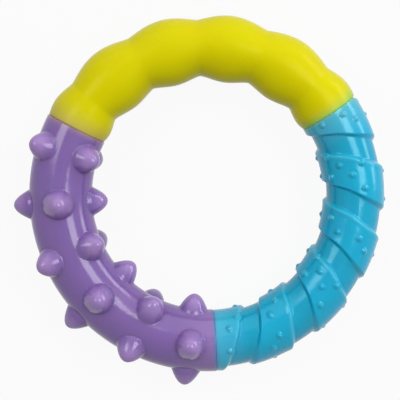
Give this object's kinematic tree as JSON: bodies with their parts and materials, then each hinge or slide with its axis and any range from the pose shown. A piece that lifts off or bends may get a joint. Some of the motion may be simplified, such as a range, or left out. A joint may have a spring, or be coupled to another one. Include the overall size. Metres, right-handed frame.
{
  "type": "rubber chew toy ring",
  "caption": "Round chewing ring of thick rubber tube in three joined segments: one lobed, one studded, one wound with a raised band of small nubs.",
  "frame": {"origin": "centre of the ring, on its middle plane", "axes": "+Z along the ring's axis, towards the face seen in the picture; +Y through the middle of the lobed segment; +X to the right, through the wrapped segment"},
  "size_m": [0.1484, 0.1466, 0.0372],
  "materials": {
    "yellow_rubber": "smooth satin thermoplastic rubber",
    "purple_rubber": "smooth glossy thermoplastic rubber",
    "blue_rubber": "smooth glossy thermoplastic rubber"
  },
  "bodies": {
    "root": {"yellow_lobed_segment": "yellow_rubber", "purple_studded_segment": "purple_rubber", "blue_wrapped_segment": "blue_rubber"}
  },
  "joints": []
}
